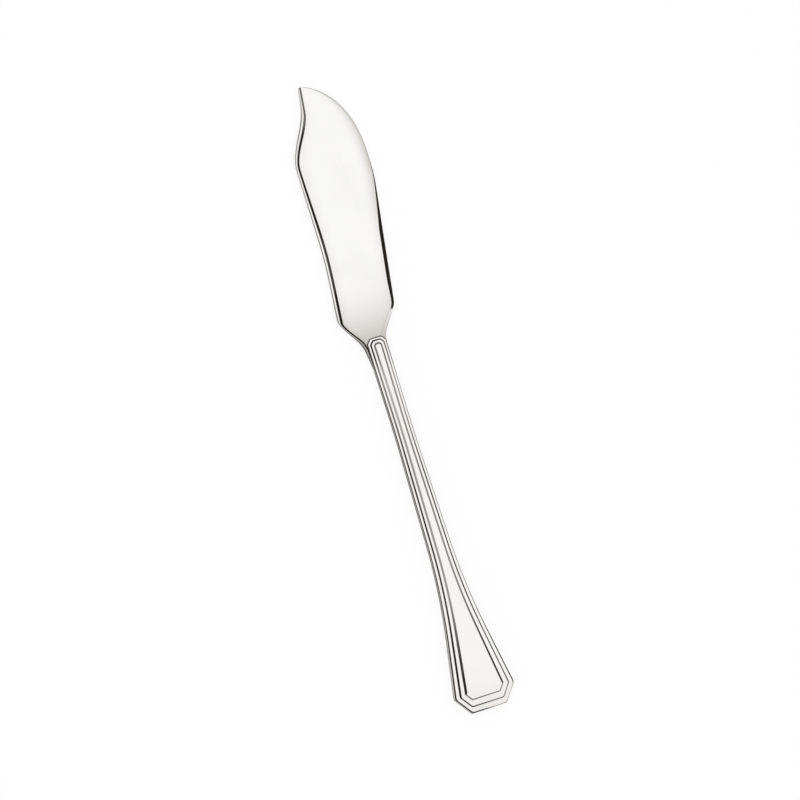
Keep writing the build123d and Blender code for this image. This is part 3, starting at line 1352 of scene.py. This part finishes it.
    def _drawn_in(self, share: float, inset: float, run: Along, z: float) -> Loop:
        """The upper side of a slope whose run changes along the handle.

        Args:
            share: OUTER, FIELD or a number between them.
            inset: How far the slope's foot is drawn in from there.
            run: How much further in its upper side lies.
            z: Height of the upper side.

        Returns:
            The loop.
        """
        foot = self._loop(share, inset, z)
        millimetre_in = self._loop(share, inset + 1.0, z)
        lines = zip(foot, millimetre_in, self._along(run))
        return [start.lerp(end, length) for start, end, length in lines]

    def _wall(self, rim_z: float, end_z: float) -> Loop:
        """The line on a side wall up to which the seam's dark band reaches: a dark joint, and painted
        shade on the wall.

        Args:
            rim_z: Height of the wall's end at the seam.
            end_z: Height of its other end.

        Returns:
            The loop, on the leaning wall.
        """
        share = self.seam_line / abs(end_z - rim_z)
        return self._loop(OUTER, self.side_lean * share, between(rim_z, end_z, share))

    def _filled(self, loop: Loop, crown: float = 0.0) -> list[Ring]:
        """Rings from a loop in to its middle line.

        Args:
            loop: The loop to fill.
            crown: How much higher the middle lies.

        Returns:
            The rings, the last of which lies on the line.
        """
        line = middle_line(loop, *self.fill_ends)
        rings = []
        for share in self.fill_shares:
            filled = []
            for rim, middle in zip(loop, line):
                point = rim.lerp(middle, share)
                point.z += crown * (1 - (1 - share) ** 2)
                filled.append(point)
            rings.append(Ring.clean(filled))
        return rings

    def _drawn(
        self, name: str, section: Sequence[Corner], face: list[Ring], inside: Loop
    ) -> bpy.types.Object:
        """Draws a shell out of its section.

        Args:
            name: Name of the piece.
            section: Corners from the rim's inner edge round the outside to the face.
            face: Rings that fill the face.
            inside: Edge of the roof or floor inside the shell.

        Returns:
            The shell, still without its slot.
        """
        rings = rounded(section)
        skin = LoopSkin(name, rings[0])
        skin.draw(rings[1:] + face[1:])
        skin.return_to_start()
        skin.draw([Ring.clean(inside)] + self._filled(inside))
        return skin.close()

    def _cut_slot(self, shell: bpy.types.Object, slot_z: float, open_z: float, black: float) -> None:
        """Cuts room for the neck into a shell's nose and carries the walls' painted shade and the seam's
        dark line on to its edges.

        Args:
            shell: The shell.
            slot_z: Height of the slot's roof or floor.
            open_z: A height past the shell's rim, where the slot is open.
            black: Painted shade on the wall past the line along the seam.
        """
        clear = self.nose_width[0]
        lap_x = self.heights.lap_x
        low_z, high_z = sorted((slot_z, open_z))
        slot = add_box(
            Vector((lap_x, -clear, low_z)),
            Vector((self.nose_length + clear, clear, high_z)),
        )
        combine(shell, slot, Cut.AWAY)
        black_and_shade = shell.data.attributes[BLACK_AND_SHADE].data
        for vertex in shell.data.vertices:
            place = vertex.co / MM
            if abs(place.x - lap_x) < NEAR or abs(place.z - slot_z) < NEAR:
                in_line = abs(place.z - self.heights.seam) < self.seam_line
                black_and_shade[vertex.index].value = 1.0 if in_line else black

    def build_front(self) -> bpy.types.Object:
        """Models the front shell.

        Returns:
            The piece.
        """
        heights = self.heights
        lean = self.side_lean
        middle = self.middle_share
        shift = self.field_shift
        turn = self.riser_radius
        rim_z = heights.seam + heights.film / 2
        crest_z = heights.terrace - self.crest_drop
        field_z = heights.field - self.field_crown
        field_edge = self._drawn_in(FIELD, shift, self.field_run, field_z)
        field = self._filled(field_edge, self.field_crown)
        section = [
            Corner(self._loop(OUTER, self.sheet, rim_z), 0.0),
            Corner(self._loop(OUTER, 0.0, rim_z), self.rim_radius, self._along(self.seam_black_and_shade)),
            Corner(self._wall(rim_z, crest_z), self.seam_blend, self._along(self.wall_shade)),
            Corner(self._loop(OUTER, lean, crest_z), self.crest_radius, self._along(self.crest_shade)),
            Corner(self._drawn_in(OUTER, lean, self.crest_run, heights.terrace), self.crest_radius),
            Corner(self._loop(middle, 0.0, heights.terrace), turn, self._along(self.riser_black_and_shade)),
            Corner(self._drawn_in(middle, 0.0, self.riser_run, heights.middle), turn),
            Corner(self._loop(FIELD, shift, heights.middle), turn, self._along(self.field_black_and_shade)),
            Corner(field_edge, self.field_radius),
            Corner(field[0].loop, 0.0),
        ]
        roof = self._loop(OUTER, self.sheet + lean, heights.terrace - self.sheet)
        shell = self._drawn("front_shell", section, field, roof)
        slot_z = heights.seam + heights.neck_half + heights.film
        self._cut_slot(shell, slot_z, rim_z - self.sheet, self.wall_shade.edge_side[0])
        shade(shell)
        return shell

    def build_back(self) -> bpy.types.Object:
        """Models the back shell.

        Returns:
            The piece.
        """
        heights = self.heights
        lean = self.side_lean
        rim_z = heights.seam - heights.film / 2
        back_edge = self._loop(OUTER, lean + self.back_break, 0.0)
        back = self._filled(back_edge)
        section = [
            Corner(self._loop(OUTER, self.sheet, rim_z), 0.0),
            Corner(self._loop(OUTER, 0.0, rim_z), self.rim_radius, self._along(self.seam_black_and_shade)),
            Corner(self._wall(rim_z, self.back_break), self.seam_blend, self._along(self.back_wall_shade)),
            Corner(self._loop(OUTER, lean, self.back_break), self.break_radius),
            Corner(back_edge, self.break_radius),
            Corner(back[0].loop, 0.0),
        ]
        floor = self._loop(OUTER, self.sheet + lean, self.sheet)
        shell = self._drawn("back_shell", section, back, floor)
        slot_z = heights.seam - heights.neck_half - heights.film
        self._cut_slot(shell, slot_z, rim_z + self.sheet, self.back_wall_shade.edge_side[0])
        shade(shell)
        return shell


@dataclass
class Studio:
    """A pale floor under a bright ceiling with dim walls, and the camera over it."""

    target: tuple[float, float, float] = (-0.01824, -0.00189, 0.00193)
    towards_camera: tuple[float, float, float] = (0.0356, 0.1874, 0.9816)
    image_up: tuple[float, float, float] = (0.9547, -0.2968, 0.0220)
    distance: float = 1.5
    frame_width: float = 0.248
    sensor: float = 36.0
    floor_size: float = 12.0
    floor_drop: float = 0.0001
    floor_colour: Colour = (0.98, 0.98, 0.98, 1.0)
    floor_glow: float = 0.84
    # The middle of the ceiling light, and how bright the room is at degrees up from square to that
    ceiling: tuple[float, float, float] = (-0.20, -0.27, 0.94)
    room: tuple[Pair, ...] = (
        (0.0, 0.8),
        (4.0, 0.75),
        (8.0, 0.55),
        (32.0, 0.52),
        (44.0, 0.6),
        (52.0, 0.76),
        (60.0, 0.9),
        (70.0, 0.98),
        (78.0, 1.0),
    )
    lamp_place: tuple[float, float, float] = (-0.2, 0.3, 1.6)
    lamp_size: float = 1.8
    lamp_power: float = 11.0

    def build(self) -> None:
        """Sets the room, the floor, the lamp and the camera up."""
        bpy.context.scene.view_settings.view_transform = "Standard"
        self._add_room()
        self._add_floor()
        self._add_lamp()
        self._add_camera()

    def _add_room(self) -> None:
        """Lights the scene from a bright ceiling that leans over the butt, with dim walls round it."""
        world = bpy.data.worlds.new("room")
        bpy.context.scene.world = world
        graph = Graph(world)
        direction = graph.node("ShaderNodeTexCoord").out("Generated")
        middle = Vector(self.ceiling).normalized()
        rise = graph.node("ShaderNodeVectorMath", {"operation": "DOT_PRODUCT"}, {0: direction, 1: middle})
        stops = [(sin(radians(angle)), grey(level)) for angle, level in self.room]
        level = graph.node("ShaderNodeValToRGB", {"stops": stops}, {0: rise.out("Value")})
        background = graph.node("ShaderNodeBackground", {}, {"Color": level, "Strength": 1.0})
        graph.node("ShaderNodeOutputWorld", {}, {"Surface": background})

    def _add_floor(self) -> None:
        """Lays the floor just under the knife. It shows near white and still takes the knife's shadow."""
        bpy.ops.object.select_all(action="DESELECT")
        bpy.ops.mesh.primitive_plane_add(size=self.floor_size, location=(0, 0, -self.floor_drop))
        floor = bpy.context.object
        floor.name = "floor"
        paper = bpy.data.materials.new("pale_paper")
        graph = Graph(paper)
        matte = graph.node("ShaderNodeBsdfDiffuse", {}, {"Color": self.floor_colour})
        glow = graph.node("ShaderNodeEmission", {}, {"Color": grey(1.0), "Strength": 1.0})
        path = graph.node("ShaderNodeLightPath")
        seen = path.out("Is Camera Ray") + path.out("Is Glossy Ray") + path.out("Is Transmission Ray")
        mixed = graph.node("ShaderNodeMixShader", {}, {0: seen * self.floor_glow, 1: matte, 2: glow})
        graph.node("ShaderNodeOutputMaterial", {}, {"Surface": mixed})
        floor.data.materials.append(paper)

    def _add_lamp(self) -> None:
        """Hangs a soft lamp overhead, for the floor's light and the knife's shadow."""
        bpy.ops.object.light_add(type="AREA", location=self.lamp_place)
        lamp = bpy.context.object
        lamp.name = "soft_lamp"
        lamp.data.size = self.lamp_size
        lamp.data.energy = self.lamp_power
        lamp.visible_glossy = False

    def _add_camera(self) -> None:
        """Stands the camera over the knife, as far off and turned as the photograph was taken."""
        bpy.ops.object.camera_add()
        camera = bpy.context.object
        back = Vector(self.towards_camera).normalized()
        right = Vector(self.image_up).cross(back).normalized()
        turn = Matrix((right, back.cross(right), back)).transposed().to_4x4()
        camera.matrix_world = Matrix.Translation(Vector(self.target) + back * self.distance) @ turn
        camera.data.sensor_width = self.sensor
        camera.data.lens = self.sensor * self.distance / self.frame_width
        bpy.context.scene.camera = camera


def dress_hidden_nodes() -> None:
    """Gives the solder and the cement, which stay as they are in the frame, their finishes."""
    solder = SOLDER.material()
    cement = CEMENT.material()
    for name, finish in (("seam_solder", solder), ("neck_solder", solder), ("handle_filler", cement)):
        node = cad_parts[name]
        node.data.materials.clear()
        node.data.materials.append(finish)
        log.info("%s: %s", name, finish.name)


def main() -> None:
    """Builds the knife and its studio."""
    logging.basicConfig(level=logging.INFO, format="%(name)s: %(message)s")
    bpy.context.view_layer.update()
    heights = Heights.read()
    blade_steel = BLADE_STEEL.material()
    handle_steel = HANDLE_STEEL.material()
    dress(Blade(heights).build(), blade_steel, "blade")
    handle = Handle(heights)
    dress(handle.build_front(), handle_steel, "handle_front_shell")
    dress(handle.build_back(), handle_steel, "handle_back_shell")
    dress_hidden_nodes()
    Studio().build()


if __name__ == "__main__":
    main()
